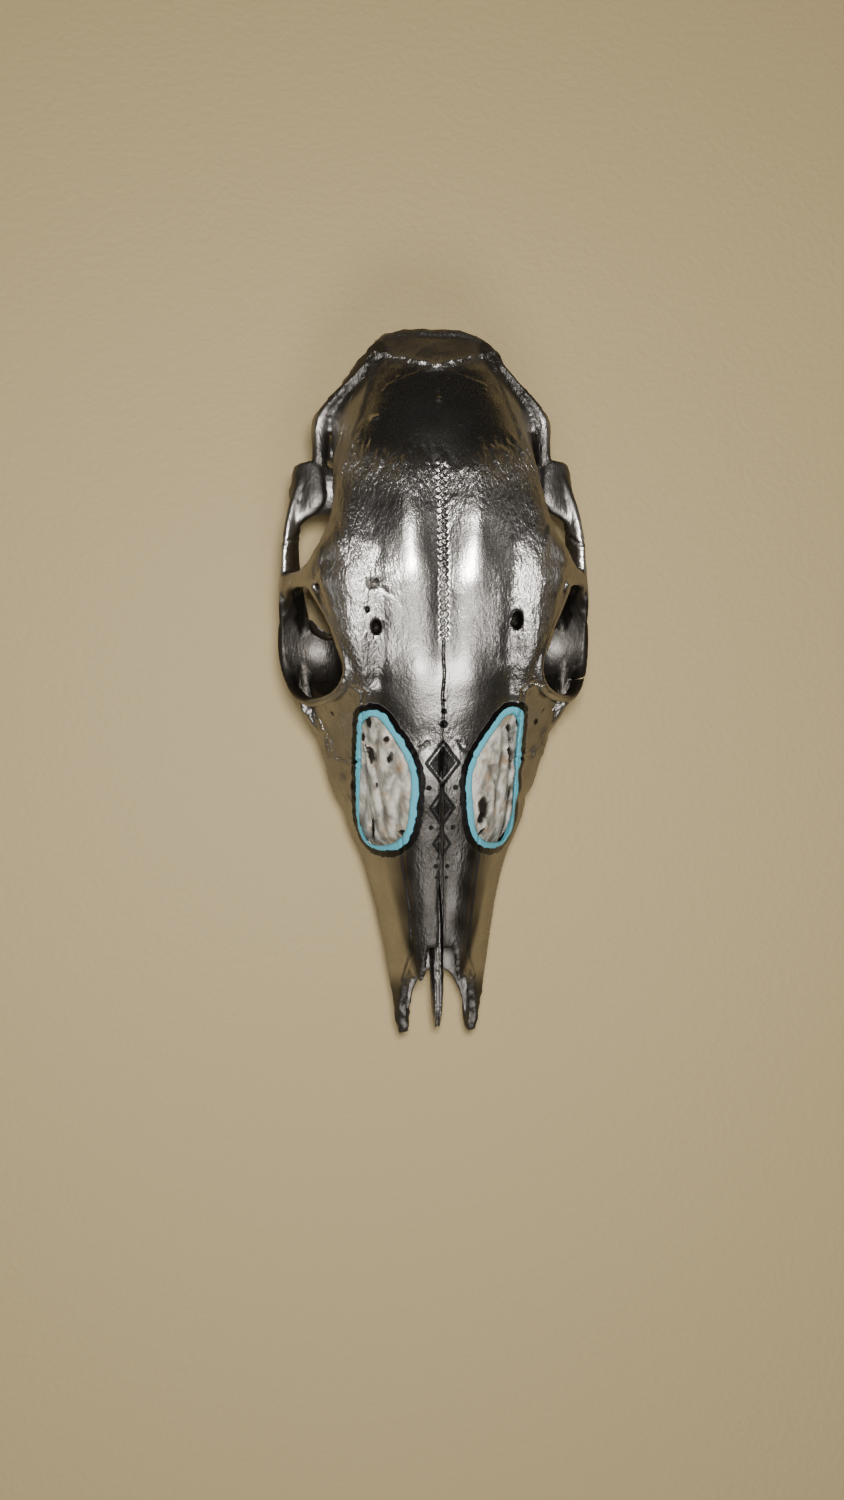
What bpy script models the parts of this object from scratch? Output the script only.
# Cranium of a white-tailed doe, without its lower jaw and front bones, painted all over.
# Metres, +Z up. It lies on its cheek teeth and its two jugular processes, nose towards -Y.
# The whole skull is modelled first, from lofts, ellipsoids and swept bars, and its surface
# is then evened out. Thin cuts along the sutures part it into the bones that people name.

import math

import bmesh
import bpy
import numpy as np
from mathutils import Vector

# All sizes below are in millimetres and are turned into metres where points are made.
# Stations along the skull count from the line where the nasal bones meet the frontals:
# positive towards the back of the head, negative towards the nose.
MM = 0.001
BACK_END = 143.5
NOSE_END = -103.0
WALL = 2.5
SUTURE_GAP = 0.3
SOCKET_GAP = 0.3

# The animal's left side lies at +X, so each pair is made there and then mirrored.
# The left eye socket: its centre, and the ring of bone round it, which leans inwards.
ORBIT = (43.0, 37.0, 60.5)
ORBIT_RADIUS = 19.0
RIM_MIDDLE_X = 43.4
RIM_LEAN = 9.6
RIM_TURN = 7.0

# Where the room of the nose ends at the back, and the slack round the rolls of bone in it.
ROOM_BACK = 22.0
CONCHA_SLACK = 0.7
CONCHA_BACK = 3.0
CONCHA_FRONT = -38.0
CONCHA_BOTTOM = 29.0
CONCHA_FROM_MIDDLE = 1.6

# Cheek teeth from the second premolar back: length and width of each crown, then its height.
TEETH = ((9.5, 8.0), (11.0, 10.0), (10.5, 11.5), (13.0, 13.5), (14.5, 14.0), (14.5, 13.0))
TOOTH_ROW_FRONT = -38.5
CROWN_HEIGHT = 11.0
TOOTH_SIDES = 12
ROOT_TOP = 16.5

TOOTH_LINE_X = ((-38.5, 19.5), (-30, 22), (-15, 25), (0, 27), (15, 28), (36, 27))

VOXEL = 0.9
SMOOTH_PASSES = 5
SKULL_TRIANGLES = 6800
CONCHA_TRIANGLES = 420
RING_POINTS = 72
STATION_STEP = 3.5

# Lines of the skull along its length, like a hull's lines plan: (station, size) knots.
ROOF_Z = (
    (143.5, 57.0), (140, 61.5), (130, 68.5), (118, 75), (105, 80.5), (90, 85), (75, 87.5),
    (60, 88), (45, 86.2), (30, 82), (15, 75.5), (0, 68.5), (-30, 58), (-60, 50), (-103, 40),
)
BROW_Z = (
    (143.5, 55.5), (130, 66.5), (118, 72.8), (105, 78), (90, 82.5), (75, 85.5), (60, 86.5),
    (45, 85), (30, 80.5), (15, 73.5), (0, 66.5), (-30, 57.0), (-60, 49.2), (-103, 38),
)
EDGE_X = (
    (143.5, 16), (140, 19), (130, 22.5), (118, 26), (105, 29.5), (90, 33), (78, 36.5), (69, 41),
    (60, 42), (50, 39.5), (38, 36), (28, 32.5), (20, 31), (8, 26.5), (-10, 17.5), (-30, 13.5),
    (-60, 11.5), (-103, 9.5),
)
EDGE_Z = (
    (143.5, 53), (140, 56), (130, 61), (118, 65.5), (105, 70), (90, 74.5), (75, 76.5), (62, 78), (50, 79.5),
    (38, 79.5), (28, 76.5), (20, 71.5), (8, 63.5), (-10, 59.5), (-30, 54), (-60, 46), (-103, 31),
)
SIDE_X = (
    (143.5, 19), (138, 25), (130, 30), (122, 34), (115, 35), (100, 35), (85, 33.5), (70, 29),
    (55, 27), (48, 31), (40, 38), (33, 43.5), (20.6, 46), (12, 44), (3, 41), (-5.3, 38.6),
    (-18, 34), (-29, 30.6), (-38, 26.8), (-54.5, 22.4), (-69, 19.6), (-80, 17.8), (-91, 16.2), (-103, 14.2),
)
SIDE_Z = (
    (143.5, 44), (120, 45), (100, 50), (85, 54), (70, 54), (50, 44), (35, 38), (15, 35),
    (-10, 31), (-30, 28), (-60, 26.5), (-103, 26),
)
BASE_X = (
    (143.5, 10), (130, 17), (115, 18), (95, 16), (80, 13.5), (65, 12), (54, 15), (46, 24),
    (40, 30), (33, 33), (15, 33.5), (-10, 30.5), (-30, 26), (-42, 22), (-54, 18), (-72, 14.5),
    (-103, 12),
)
BASE_Z = (
    (143.5, 32), (130, 28), (115, 28), (95, 31.5), (75, 34), (60, 31), (50, 24), (42, 14.5),
    (36, 11.5), (10, 10.5), (-36, 11), (-46, 14.5), (-58, 18.5), (-72, 20), (-103, 21),
)
GUM_X = (
    (143.5, 5), (115, 9), (95, 8), (65, 6), (54, 8), (46, 14), (38, 20), (30, 21.5), (10, 21),
    (-15, 18), (-36, 14), (-46, 12), (-58, 8.5), (-103, 6),
)
GUM_Z = (
    (143.5, 31), (130, 27.5), (115, 27.5), (95, 31), (75, 34), (60, 31), (50, 25), (42, 15.5),
    (36, 12), (10, 11), (-36, 11.5), (-46, 15.5), (-58, 19.5), (-103, 22),
)
PALATE_Z = (
    (143.5, 30), (120, 28.5), (95, 31.5), (75, 34.5), (60, 31.5), (48, 24), (36, 20.5), (0, 20),
    (-36, 18.5), (-58, 20), (-103, 22.5),
)

# The opening in the left side of the face, seen from above: (x, y) corners.
WINDOW = (
    (25.4, 11.8), (21.8, 11.2), (18.0, 6.0), (13.6, -1.0), (10.6, -8.5), (10.8, -18.0),
    (12.2, -27.5), (15.5, -32.0), (20.5, -33.4), (25.0, -32.0), (27.2, -25.0), (27.5, -12.0),
    (27.3, 2.0), (27.0, 9.5),
)
WINDOW_BOTTOM = 34.0

# Bones as regions of the left half, cut out one after another in this order. A region is
# a prism: the axis it runs along, its outline across that axis, and where it starts and ends.
# Outlines are (y, z) for axis x and (x, y) for axis z.
OCCIPITAL = (
    ("x", ((170, 100), (137, 100), (137, 61), (125, 56), (120, 48), (116.5, 41), (116.5, -20),
           (170, -20)), -70, 70),
    ("z", ((-23, 138), (0, 130.5), (23, 138), (23, 170), (-23, 170)), 59, 100),
    ("x", ((98, 37), (98, -20), (120, -20), (120, 37)), -10.5, 10.5),
)
NASAL = (
    ("z", ((0.8, 0.5), (0.8, -110), (24, -110), (9.6, -72), (10.6, -56), (13, -39), (14.5, -6),
           (9, -0.5), (2, 4.5)), 36, 100),
)
LACRIMAL = (
    ("x", ((-3, 42.5), (-3, 62), (13, 75), (23.5, 72.5), (24.5, 43)), 27, 70),
)
ZYGOMATIC = (
    ("x", ((-3, 42.2), (25, 42.7), (26.5, 61), (68, 61), (72, 53), (80, 41), (60, 28), (30, 24),
           (14, 26), (0, 33)), 38.5, 70),
)
TEMPORAL = (
    ("z", ((24, 62), (70, 62), (70, 128), (10.8, 128), (10.8, 98), (24, 98)), -20, 58),
)
PARIETAL = (
    ("z", ((-70, 95), (0, 93.5), (70, 95), (70, 150), (-70, 150)), 58, 100),
)
FRONTAL = (
    ("x", ((-12, 100), (-12, 60), (12, 60), (30, 57), (99, 57.7), (99, 100)), 0.15, 70),
)
SPHENOID = (
    ("z", ((-70, 47), (70, 47), (70, 130), (-70, 130)), -20, 57.4),
)
MAXILLA = (
    ("z", ((0.15, 48), (0.15, -120), (70, -120), (70, 48)), -20, 100),
)


def clear_scene():
    for obj in list(bpy.data.objects):
        bpy.data.objects.remove(obj)


def smooth_line(knots):
    """A smooth function through (station, value) knots that doesn't swing past them."""
    places, values = np.array(sorted(knots), float).T
    rises = np.diff(values) / np.diff(places)
    slopes = np.zeros(len(values))
    slopes[0], slopes[-1] = rises[0], rises[-1]
    for i in range(1, len(values) - 1):
        before, after = rises[i - 1], rises[i]
        if before * after > 0:
            slopes[i] = 2 * before * after / (before + after)

    def value(place):
        place = min(max(place, places[0]), places[-1])
        i = min(max(int(np.searchsorted(places, place)) - 1, 0), len(places) - 2)
        span = places[i + 1] - places[i]
        t = (place - places[i]) / span
        return (
            values[i] * (2 * t**3 - 3 * t**2 + 1)
            + slopes[i] * span * (t**3 - 2 * t**2 + t)
            + values[i + 1] * (3 * t**2 - 2 * t**3)
            + slopes[i + 1] * span * (t**3 - t**2)
        )

    return value


def closed_spline(corners, count):
    """count points on a smooth closed curve through the corners, evenly spaced along it."""
    corners = np.array(corners, float)
    number = len(corners)
    dense = []
    for i in range(number):
        a, b, c, d = (corners[(i + k) % number] for k in (-1, 0, 1, 2))
        for t in np.linspace(0, 1, 16, endpoint=False):
            dense.append(
                0.5 * (2 * b + (c - a) * t + (2 * a - 5 * b + 4 * c - d) * t**2
                       + (3 * b - a - 3 * c + d) * t**3)
            )
    dense = np.array(dense + [dense[0]])
    reach = np.concatenate([[0], np.cumsum(np.linalg.norm(np.diff(dense, axis=0), axis=1))])
    at = np.linspace(0, reach[-1], count, endpoint=False)
    return np.stack([np.interp(at, reach, dense[:, k]) for k in range(dense.shape[1])], axis=1)


LINES = {
    "roof_z": smooth_line(ROOF_Z), "brow_z": smooth_line(BROW_Z), "edge_x": smooth_line(EDGE_X),
    "edge_z": smooth_line(EDGE_Z), "side_x": smooth_line(SIDE_X), "side_z": smooth_line(SIDE_Z),
    "base_x": smooth_line(BASE_X), "base_z": smooth_line(BASE_Z), "gum_x": smooth_line(GUM_X),
    "gum_z": smooth_line(GUM_Z), "palate_z": smooth_line(PALATE_Z),
}


FLOOR_OUTLINE = ((-100, -150), (100, -150), (100, 200), (-100, 200))
TOOTH_LINE = smooth_line(TOOTH_LINE_X)


def section(y, inset=0.0):
    """The outline of the skull across station y, as (x, z) points from the roof, all round."""
    at = {name: line(y) for name, line in LINES.items()}
    right = [
        (0.58 * at["edge_x"], at["brow_z"]),
        (at["edge_x"], at["edge_z"]),
        (0.45 * at["edge_x"] + 0.58 * at["side_x"], 0.5 * (at["edge_z"] + at["side_z"])),
        (at["side_x"], at["side_z"]),
        (at["base_x"] + 0.4 * (at["side_x"] - at["base_x"]), 0.6 * at["base_z"] + 0.4 * at["side_z"]),
        (at["base_x"], at["base_z"]),
        (at["gum_x"], at["gum_z"]),
        (0.5 * at["gum_x"], 0.25 * at["gum_z"] + 0.75 * at["palate_z"]),
    ]
    left = [(-x, z) for x, z in reversed(right)]
    corners = [(0, at["roof_z"]), *right, (0, at["palate_z"]), *left]
    outline = closed_spline(corners, RING_POINTS)
    if inset:
        along = np.roll(outline, -1, axis=0) - np.roll(outline, 1, axis=0)
        along /= np.linalg.norm(along, axis=1)[:, None]
        outline = outline + inset * np.stack([along[:, 1], -along[:, 0]], axis=1)
    return outline


def mesh_object(name, points, faces):
    """A new object from points in millimetres."""
    mesh = bpy.data.meshes.new(name)
    mesh.from_pydata([tuple(MM * c for c in p) for p in points], [], faces)
    work = bmesh.new()
    work.from_mesh(mesh)
    bmesh.ops.remove_doubles(work, verts=work.verts, dist=1e-6)
    bmesh.ops.recalc_face_normals(work, faces=work.faces)
    work.to_mesh(mesh)
    work.free()
    obj = bpy.data.objects.new(name, mesh)
    bpy.context.scene.collection.objects.link(obj)
    return obj


def loft(name, rings):
    """A closed solid skinned over rings of equally many points, with flat ends."""
    rings = [np.asarray(ring, float) for ring in rings]
    count = len(rings[0])
    faces = [list(range(count))[::-1]]
    for i in range(len(rings) - 1):
        for k in range(count):
            a, b = i * count + k, i * count + (k + 1) % count
            faces.append([a, b, b + count, a + count])
    last = (len(rings) - 1) * count
    faces.append([last + k for k in range(count)])
    return mesh_object(name, np.concatenate(rings), faces)


def lofted_skull(name, back, front, inset=lambda y: 0.0):
    rings = []
    for y in np.linspace(back, front, max(2, round(abs(back - front) / STATION_STEP) + 1)):
        outline = section(y, inset(y))
        rings.append(np.stack([outline[:, 0], np.full(len(outline), y), outline[:, 1]], axis=1))
    return loft(name, rings)


def through(knots, count):
    """count points on a smooth open curve through knots whose first three numbers are x, y, z."""
    knots = np.array(knots, float)
    lengths = np.linalg.norm(np.diff(knots[:, :3], axis=0), axis=1)
    reach = np.concatenate([[0], np.cumsum(lengths)])
    curves = [smooth_line(list(zip(reach, knots[:, k]))) for k in range(knots.shape[1])]
    return np.array([[c(r) for c in curves] for r in np.linspace(0, reach[-1], count)])


def bar(name, knots, count=18, sides=14, up=(0, 0, 1)):
    """A swept bar with an oval section. Each knot is x, y, z, half width, half height."""
    path = through(knots, count)
    rings = []
    for i, (x, y, z, wide, high) in enumerate(path):
        before, after = path[max(i - 1, 0)][:3], path[min(i + 1, count - 1)][:3]
        along = Vector(after - before).normalized()
        across = along.cross(Vector(up)).normalized()
        over = across.cross(along)
        ring = []
        for k in range(sides):
            turn = 2 * math.pi * k / sides
            offset = across * (wide * math.cos(turn)) + over * (high * math.sin(turn))
            ring.append(Vector((x, y, z)) + offset)
        rings.append(ring)
    return loft(name, rings)


def ellipsoid(name, centre, half, turn=(0, 0, 0)):
    bpy.ops.mesh.primitive_uv_sphere_add(segments=32, ring_count=18, radius=MM)
    obj = bpy.context.object
    obj.name = name
    obj.location = [MM * c for c in centre]
    obj.rotation_euler = turn
    obj.scale = half
    bpy.ops.object.transform_apply(location=True, rotation=True, scale=True)
    return obj


def prism(name, axis, outline, low, high):
    """A solid over a closed outline: (x, y) points for axis z, or (y, z) points for axis x."""
    if axis == "z":
        rings = [[(u, v, end) for u, v in outline] for end in (low, high)]
    else:
        rings = [[(end, u, v) for u, v in outline] for end in (low, high)]
    return loft(name, rings)


def grown(outline, grow):
    """The outline with every side moved outwards by grow."""
    points = [Vector(p) for p in outline]
    area = sum(a.x * b.y - b.x * a.y for a, b in zip(points, points[1:] + points[:1]))
    if area < 0:
        points.reverse()
    moved = []
    for i, point in enumerate(points):
        before = (point - points[i - 1]).normalized()
        after = (points[(i + 1) % len(points)] - point).normalized()
        out_before = Vector((before.y, -before.x))
        out_after = Vector((after.y, -after.x))
        spread = out_before + out_after
        moved.append(tuple(point + spread * (2 * grow / spread.length_squared)))
    return moved


def mirrored(obj, name):
    twin = obj.copy()
    twin.name = name
    twin.data = obj.data.copy()
    bpy.context.scene.collection.objects.link(twin)
    for vertex in twin.data.vertices:
        vertex.co.x = -vertex.co.x
    twin.data.flip_normals()
    return twin


def both_sides(make, name, *args, **kwargs):
    """Makes the left-hand piece, and its mirror image."""
    left = make(name, *args, **kwargs)
    return [left, mirrored(left, name)]


def boolean(target, others, operation, solver="MANIFOLD"):
    """Applies one Boolean of the objects in others to target, and removes them."""
    group = bpy.data.collections.new("operands")
    bpy.context.scene.collection.children.link(group)
    for other in others:
        group.objects.link(other)
    modifier = target.modifiers.new("boolean", "BOOLEAN")
    modifier.operation = operation
    modifier.operand_type = "COLLECTION"
    modifier.collection = group
    modifier.solver = solver
    apply_modifiers(target)
    for other in others:
        bpy.data.objects.remove(other)
    bpy.data.collections.remove(group)


def apply_modifiers(obj):
    graph = bpy.context.evaluated_depsgraph_get()
    mesh = bpy.data.meshes.new_from_object(obj.evaluated_get(graph))
    obj.modifiers.clear()
    obj.data = mesh


def duplicate(obj, name):
    twin = obj.copy()
    twin.name = name
    twin.data = obj.data.copy()
    bpy.context.scene.collection.objects.link(twin)
    return twin


def keep_largest(obj):
    """Drops every loose shell but the one with the most volume."""
    work = bmesh.new()
    work.from_mesh(obj.data)
    work.faces.ensure_lookup_table()
    seen, shells = set(), []
    for face in work.faces:
        if face.index in seen:
            continue
        seen.add(face.index)
        shell, edge_of = [face], [face]
        while edge_of:
            for edge in edge_of.pop().edges:
                for other in edge.link_faces:
                    if other.index not in seen:
                        seen.add(other.index)
                        shell.append(other)
                        edge_of.append(other)
        shells.append(shell)
    shells.sort(key=shell_volume, reverse=True)
    spare = [face for shell in shells[1:] for face in shell]
    bmesh.ops.delete(work, geom=spare, context="FACES")
    work.to_mesh(obj.data)
    work.free()


def shell_volume(shell):
    total = 0.0
    for face in shell:
        first = face.verts[0].co
        for a, b in zip(face.verts[1:-1], face.verts[2:]):
            total += first.dot(a.co.cross(b.co)) / 6
    return abs(total)


def added_forms():
    """The solid forms that stand out from the lofted skull."""
    pieces = []
    rim = []
    for turn in np.linspace(0, 2 * math.pi, 25):
        top = max(0.0, math.sin(turn))
        thick = 2.0 + 0.5 * math.cos(turn) - 0.6 * top
        rim.append((
            RIM_MIDDLE_X - RIM_LEAN * math.sin(turn) + RIM_TURN * top * math.cos(turn),
            ORBIT[1] + (ORBIT_RADIUS + 0.8) * math.cos(turn),
            ORBIT[2] + 0.5 + (ORBIT_RADIUS + 0.2 - 1.6 * top) * math.sin(turn),
            thick, thick + 0.8,
        ))
    pieces += both_sides(bar, "rim", rim, count=49, sides=12, up=(1, 0, 0.4))
    # Floor of the socket: the plate of the cheek bone inside the rim.
    pieces += both_sides(ellipsoid, "floor", (41.0, 31.0, 40.5), (10.5, 16.5, 4.5), (0, 0.25, -0.12))
    # Cheek bone under the socket, and the arch back to the temple. Its top leans outwards.
    pieces += both_sides(bar, "cheek", (
        (31.0, -6.0, 31.0, 3.0, 5.0), (37.4, 8.0, 32.4, 3.4, 6.8), (44.4, 20.5, 37.4, 3.4, 7.4),
        (48.2, 33.0, 39.5, 3.2, 7.4), (49.5, 45.0, 41.5, 2.8, 7.4), (50.6, 56.0, 44.5, 2.3, 6.2),
        (50.6, 68.0, 47.3, 1.9, 4.6), (49.6, 79.0, 48.3, 2.1, 4.0), (47.2, 88.5, 47.6, 2.4, 3.8),
        (45.0, 96.0, 46.8, 2.8, 3.2),
    ), count=34, up=(0.62, 0, 0.78))
    # Bar behind the socket, from the frontal down to the arch.
    pieces += both_sides(bar, "post", (
        (32.0, 67.0, 81.0, 3.0, 9.0), (39.5, 63.0, 77.0, 2.8, 6.6), (44.0, 60.0, 71.5, 2.4, 4.4),
        (47.6, 58.5, 63.0, 2.2, 3.6), (50.2, 58.5, 55.0, 2.3, 3.8), (51.8, 58.0, 47.0, 2.6, 5.0),
    ), up=(0, 1, 0))
    # Broad root of the arch, which carries the jaw joint.
    pieces += both_sides(ellipsoid, "root", (39.0, 91.5, 45.6), (12.0, 8.6, 3.6), (0.1, 0.2, -0.1))
    pieces += both_sides(bar, "plate", (
        (44.4, 101.4, 46.9, 4.4, 2.4), (44.1, 98.0, 47.5, 5.8, 2.6), (44.0, 92.0, 48.2, 6.4, 2.8),
        (44.0, 89.0, 48.5, 6.6, 2.8), (44.8, 86.6, 48.5, 5.6, 2.6), (47.2, 83.4, 48.4, 3.8, 2.4),
        (49.2, 79.4, 48.2, 2.4, 2.2), (50.4, 72.0, 47.8, 1.8, 2.0),
    ), count=24, up=(0.4, 0, 0.92))
    # Crest over the ear, running back into the crest of the nape.
    pieces += both_sides(bar, "temple", (
        (42.0, 96.5, 46.5, 3.0, 2.6), (39.6, 101.0, 46.6, 2.8, 3.4), (39.3, 107.0, 46.0, 2.6, 4.6),
        (39.1, 114.0, 46.0, 3.1, 5.2), (35.0, 120.4, 48.0, 2.4, 5.2), (28.7, 126.5, 52.0, 2.0, 5.0),
        (23.3, 132.5, 55.0, 1.9, 4.2), (20.4, 138.6, 52.4, 2.2, 3.6), (14.6, 143.0, 51.6, 2.6, 2.9),
        (7.0, 144.8, 52.2, 2.5, 2.6), (-2.0, 144.8, 52.4, 2.5, 2.6),
    ), count=40, up=(0.3, 0.2, 1))
    pieces += both_sides(bar, "ear", (
        (28.0, 106.0, 36.0, 7.0, 7.0), (35.5, 107.0, 38.5, 5.8, 5.6), (40.2, 107.5, 39.5, 4.8, 4.6),
    ))
    pieces += both_sides(ellipsoid, "bulla", (18.5, 104.5, 28.0), (8.0, 11.0, 9.0), (0, 0, 0.2))
    # Condyles either side of the great foramen, and the long processes outside them.
    pieces += both_sides(
        ellipsoid, "condyle", (12.0, 141.5, 35.5), (8.5, 9.0, 12.5), (0.25, 0, -0.35)
    )
    pieces += both_sides(bar, "jugular", (
        (25.5, 128.5, 44.0, 6.0, 6.0), (26.5, 126.5, 30.0, 3.6, 6.4), (26.0, 124.5, 18.0, 2.9, 5.4),
        (25.0, 122.0, 8.0, 2.5, 4.2), (24.2, 120.0, -2.0, 2.2, 3.2),
    ), up=(0, 1, 0))
    # Wings of the palate behind the mouth.
    pieces += both_sides(bar, "wing", (
        (13.0, 36.0, 22.0, 2.4, 5.0), (10.4, 48.0, 23.5, 1.8, 8.0), (9.2, 60.0, 24.5, 1.6, 9.4),
        (9.6, 72.0, 29.0, 1.8, 7.6), (10.5, 84.0, 33.0, 2.4, 4.0),
    ))
    # Step of bone on the cheek over the first molar.
    pieces += both_sides(ellipsoid, "tuber", (34.0, -9.0, 27.0), (4.0, 12.0, 4.0), (0, 0, -0.33))
    return pieces


def removed_forms():
    """The forms that are taken away: sockets, cavities, openings and foramina."""
    cutters = both_sides(
        ellipsoid, "socket", (43.0, 37.0, 60.0), (22.5, ORBIT_RADIUS - 0.6, ORBIT_RADIUS - 1.2)
    )
    # The socket runs on backwards and downwards into the hollow for the jaw muscle.
    cutters += both_sides(ellipsoid, "hollow", (38.5, 53.5, 52.0), (10.5, 15.5, 18.5), (0, 0.25, 0.1))
    cutters += both_sides(prism, "window", "z", closed_spline(WINDOW, 48), WINDOW_BOTTOM, 100)
    cutters += both_sides(ellipsoid, "brow_hole", (24.0, 41.4, 83.0), (1.7, 2.6, 6.0))
    cutters += both_sides(ellipsoid, "tear_pit", (42.5, 9.0, 51.0), (5.0, 8.0, 5.0), (0, 0, -0.6))
    cutters.append(lofted_skull("nose_room", ROOM_BACK, NOSE_END - 5, lambda y: WALL))
    cutters.append(bar("throat", (
        (0, 14.0, 33.0, 8.0, 9.0), (0, 34.0, 31.0, 7.5, 7.5), (0, 48.0, 27.5, 7.2, 6.0),
        (0, 60.0, 22.0, 7.0, 8.0), (0, 74.0, 16.0, 7.0, 12.0),
    )))
    cutters.append(bar("great_foramen", (
        (0, 100.0, 48.0, 8.0, 6.0), (0, 120.0, 44.0, 12.0, 11.0), (0, 134.0, 40.0, 9.5, 8.8),
        (0, 153.0, 35.5, 10.5, 9.8),
    ), sides=20))
    # In front of the nasal bones the nose is open above the edges of the upper jaw.
    cutters.append(prism("nostril", "x", (
        (-83, 70), (-83, 45), (-80, 39), (-84, 34), (-90, 31), (-97, 28.5), (-110, 25), (-110, 70),
    ), -30, 30))
    cutters += both_sides(prism, "shoulder", "x", (
        (-70, 70), (-71, 47), (-75, 42), (-81, 37), (-86, 33), (-92, 30), (-110, 25), (-110, 70),
    ), 9.8, 30)
    # The floor of the nose stops short of the ends of the jaws.
    cutters.append(prism("front_gap", "z", closed_spline((
        (0, -80.5), (4.2, -81.5), (7.4, -85.8), (9.2, -91), (10.0, -98), (10.2, -112),
        (-10.2, -112), (-10.0, -98), (-9.2, -91), (-7.4, -85.8), (-4.2, -81.5),
    ), 40), -5, 60))
    return cutters


def nasal_notches():
    """What is cut from the front edge of the nasal bones to leave their forked ends."""
    outline = (
        (0, -69.5), (4.9, -69.0), (5.5, -73.0), (6.0, -79.0), (6.9, -83.0), (8.4, -78.5),
        (9.8, -84.0), (9.8, -120.0),
    )
    left = [(-x, y) for x, y in reversed(outline[1:])]
    return prism("notches", "z", [*outline, *left], 34, 100)


def even_surface(obj, voxel, passes):
    """Melts the pieces into one skin of even facets and softens where they meet."""
    remesh = obj.modifiers.new("remesh", "REMESH")
    remesh.mode = "VOXEL"
    remesh.voxel_size = voxel * MM
    smooth = obj.modifiers.new("smooth", "SMOOTH")
    smooth.factor = 0.5
    smooth.iterations = passes
    apply_modifiers(obj)


def reduce_to(obj, triangles):
    count = sum(len(face.vertices) - 2 for face in obj.data.polygons)
    decimate = obj.modifiers.new("decimate", "DECIMATE")
    decimate.ratio = min(1.0, triangles / count)
    apply_modifiers(obj)


def tooth(name, centre, length, width, turn, grow):
    """One cheek tooth: a root, a swelling crown and a flat worn end, as a closed loft."""
    levels = (
        (ROOT_TOP + grow, 0.78), (CROWN_HEIGHT, 0.90), (0.55 * CROWN_HEIGHT, 1.0),
        (0.2 * CROWN_HEIGHT, 0.96), (-grow, 0.80),
    )
    rings = []
    for z, scale in levels:
        ring = []
        for k in range(TOOTH_SIDES):
            angle = 2 * math.pi * (k + 0.5) / TOOTH_SIDES
            across, along = math.cos(angle), math.sin(angle)
            squared = (across**4 + along**4) ** -0.25
            u = across * squared * (0.5 * width * scale + grow)
            v = along * squared * (0.5 * length * min(1.0, scale + 0.04) + grow)
            ring.append((
                centre[0] + u * math.cos(turn) - v * math.sin(turn) + 0.06 * (z - CROWN_HEIGHT),
                centre[1] + u * math.sin(turn) + v * math.cos(turn), z,
            ))
        rings.append(ring)
    return loft(name, rings)


def tooth_row(name, grow=0.0):
    """The left-hand cheek teeth as one row, with the valley worn along their crowns."""
    teeth = []
    y = TOOTH_ROW_FRONT
    for length, width in TEETH:
        middle = y + length / 2
        turn = math.atan2(TOOTH_LINE(y) - TOOTH_LINE(y + length), length)
        teeth.append(tooth(name, (TOOTH_LINE(middle), middle), length + 0.5, width, turn, grow))
        y += length
    row = teeth[0]
    boolean(row, teeth[1:], "UNION")
    if not grow:
        valley = [(TOOTH_LINE(y), y, -0.6, 1.6, 2.6) for y in np.linspace(-37, 34, 9)]
        boolean(row, [bar("valley", valley, count=14, sides=8)], "DIFFERENCE")
    return row


def vomer(grow=0.0):
    """The plate that stands along the middle of the nose, and its broken front end."""
    return bar("vomer", (
        (0, 20.0, 31.0, 1.2 + grow, 9.5 + grow), (0, 0.0, 29.0, 1.2 + grow, 8.5 + grow),
        (0, -40.0, 27.0, 1.5 + grow, 7.0 + grow), (0, -66.0, 28.0, 2.5 + grow, 6.0 + grow),
        (0, -80.0, 28.0, 2.5 + grow, 5.2 + grow), (0, -94.0 - grow, 27.0, 2.0 + grow, 4.0 + grow),
        (0, -101.5 - grow, 26.0, 1.0 + grow, 1.6 + grow),
    ), count=16, sides=10)


def concha(name, grow=0.0):
    """The left-hand roll of bone inside the nose, which shows in the window."""
    clear = WALL + CONCHA_SLACK - grow

    def inset(y):
        return clear + 7.0 * max(0.0, (-26.0 - y) / 14.0) ** 2

    roll = lofted_skull(name, ROOM_BACK + CONCHA_BACK + grow, CONCHA_FRONT, inset)
    low = CONCHA_BOTTOM - grow
    inner = CONCHA_FROM_MIDDLE + CONCHA_SLACK - grow
    keep = prism("keep", "x", ((40, low), (-60, low), (-60, 90), (40, 90)), inner, 60)
    boolean(roll, [keep], "INTERSECT")
    reduce_to(roll, CONCHA_TRIANGLES)
    keep_largest(roll)
    return roll


def whole_skull():
    skull = lofted_skull("skull", BACK_END, NOSE_END)
    boolean(skull, added_forms(), "UNION")
    boolean(skull, removed_forms(), "DIFFERENCE")
    boolean(skull, [nasal_notches()], "DIFFERENCE")
    even_surface(skull, VOXEL, SMOOTH_PASSES)
    keep_largest(skull)
    return skull


def region(prisms, grow, mirror):
    """The solid of a bone's region, made larger by grow on every side."""
    solids = []
    for axis, outline, low, high in prisms:
        solids.append(prism("region", axis, grown(outline, grow), low - grow, high + grow))
    if len(solids) > 1:
        boolean(solids[0], solids[1:], "UNION")
    if mirror:
        solid = mirrored(solids[0], "region")
        bpy.data.objects.remove(solids[0])
        return solid
    return solids[0]


def carve(rest, name, prisms, mirror=False):
    """Parts one bone from the rest of the skull, with a thin gap left between them."""
    bone = duplicate(rest, name)
    boolean(bone, [region(prisms, 0.0, mirror)], "INTERSECT")
    keep_largest(bone)
    boolean(rest, [region(prisms, SUTURE_GAP, mirror)], "DIFFERENCE")
    return bone


def carve_pair(rest, name, prisms):
    return [carve(rest, name + "_left", prisms), carve(rest, name + "_right", prisms, True)]


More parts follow.
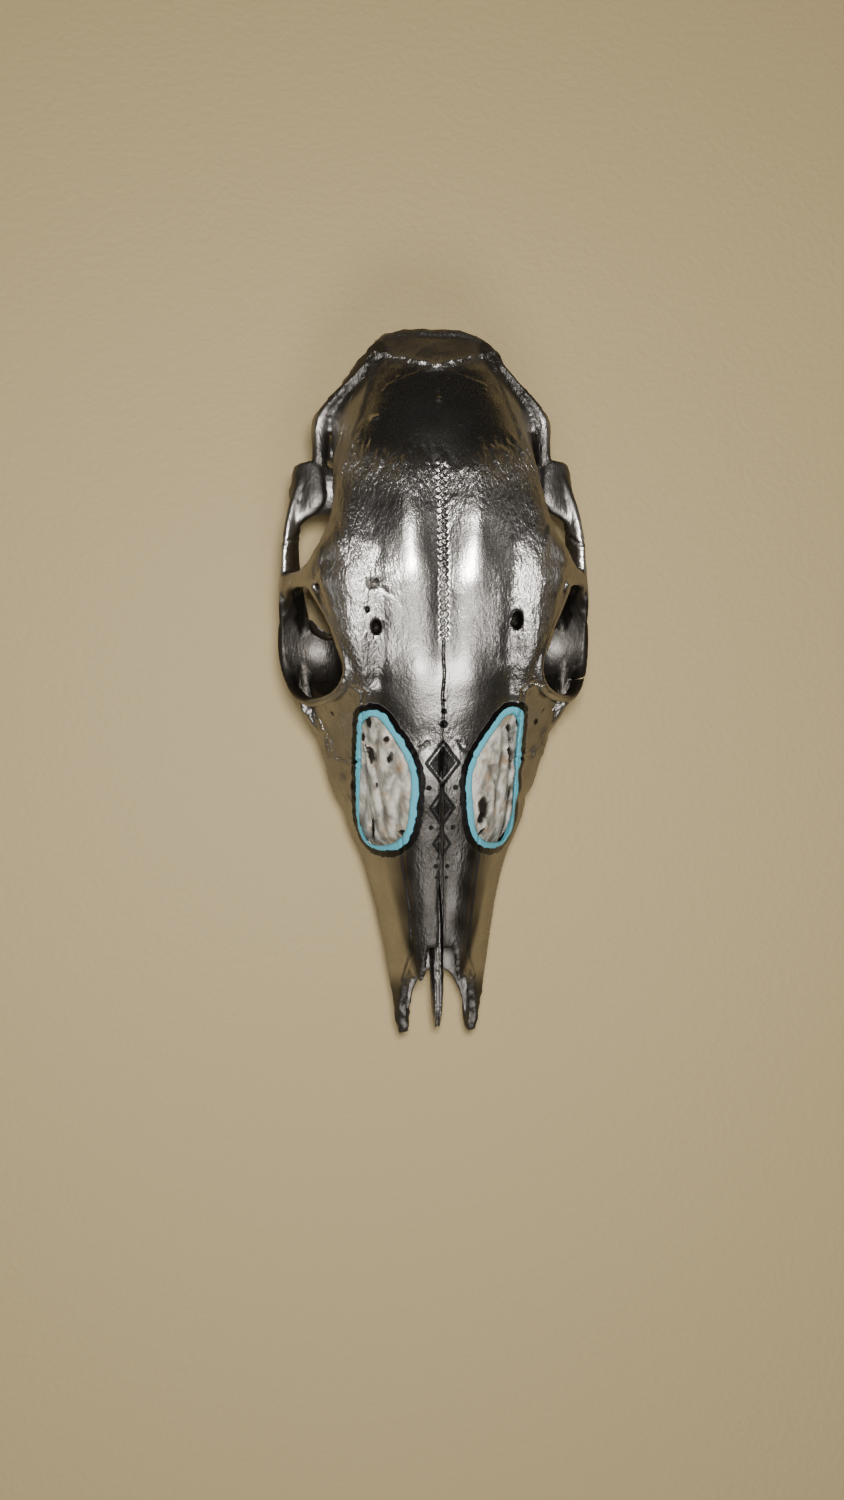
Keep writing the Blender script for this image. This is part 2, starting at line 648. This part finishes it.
def material(name, colour, metallic, roughness):
    made = bpy.data.materials.new(name)
    made.use_nodes = True
    shader = made.node_tree.nodes["Principled BSDF"]
    shader.inputs["Base Color"].default_value = (*colour, 1)
    shader.inputs["Metallic"].default_value = metallic
    shader.inputs["Roughness"].default_value = roughness
    made.diffuse_color = (*colour, 1)
    return made


def file_away(objects):
    """Centres the skull over the origin and files its parts in a collection of their own."""
    corners = np.array([obj.matrix_world @ Vector(c) for obj in objects for c in obj.bound_box])
    middle = 0.5 * (corners.min(axis=0) + corners.max(axis=0))
    collection = bpy.data.collections.new("deer_skull")
    bpy.context.scene.collection.children.link(collection)
    paint = material("silver_paint", (0.52, 0.52, 0.53), 1.0, 0.25)
    bare = material("bare_bone", (0.62, 0.57, 0.48), 0.0, 0.6)
    enamel = material("tooth_enamel", (0.50, 0.50, 0.50), 1.0, 0.3)
    slots = {"concha": bare, "teeth": enamel}
    for obj in objects:
        for vertex in obj.data.vertices:
            vertex.co.x -= middle[0]
            vertex.co.y -= middle[1]
        for holder in list(obj.users_collection):
            holder.objects.unlink(obj)
        collection.objects.link(obj)
        obj.data.materials.clear()
        obj.data.materials.append(slots.get(obj.name.split("_")[0], paint))


def main():
    clear_scene()
    rest = whole_skull()
    reduce_to(rest, SKULL_TRIANGLES)
    # The two long processes end on the floor, level with the teeth.
    boolean(rest, [prism("floor", "z", FLOOR_OUTLINE, -20, 0)], "DIFFERENCE")
    keep_largest(rest)
    # Sockets for the parts that are set into the skull.
    sockets = both_sides(tooth_row, "socket", SOCKET_GAP) + both_sides(concha, "socket", SOCKET_GAP)
    boolean(rest, [*sockets, vomer(SOCKET_GAP)], "DIFFERENCE")
    keep_largest(rest)
    bones = [carve(rest, "occipital", OCCIPITAL)]
    bones += carve_pair(rest, "nasal", NASAL)
    bones += carve_pair(rest, "lacrimal", LACRIMAL)
    bones += carve_pair(rest, "zygomatic", ZYGOMATIC)
    bones += carve_pair(rest, "temporal", TEMPORAL)
    bones.append(carve(rest, "parietal", PARIETAL))
    bones += carve_pair(rest, "frontal", FRONTAL)
    bones.append(carve(rest, "sphenoid", SPHENOID))
    bones += carve_pair(rest, "maxilla", MAXILLA)
    bpy.data.objects.remove(rest)
    teeth_left = tooth_row("teeth_left")
    concha_left = concha("concha_left")
    bones += [teeth_left, mirrored(teeth_left, "teeth_right")]
    bones += [concha_left, mirrored(concha_left, "concha_right")]
    bones.append(vomer())
    file_away(bones)


main()
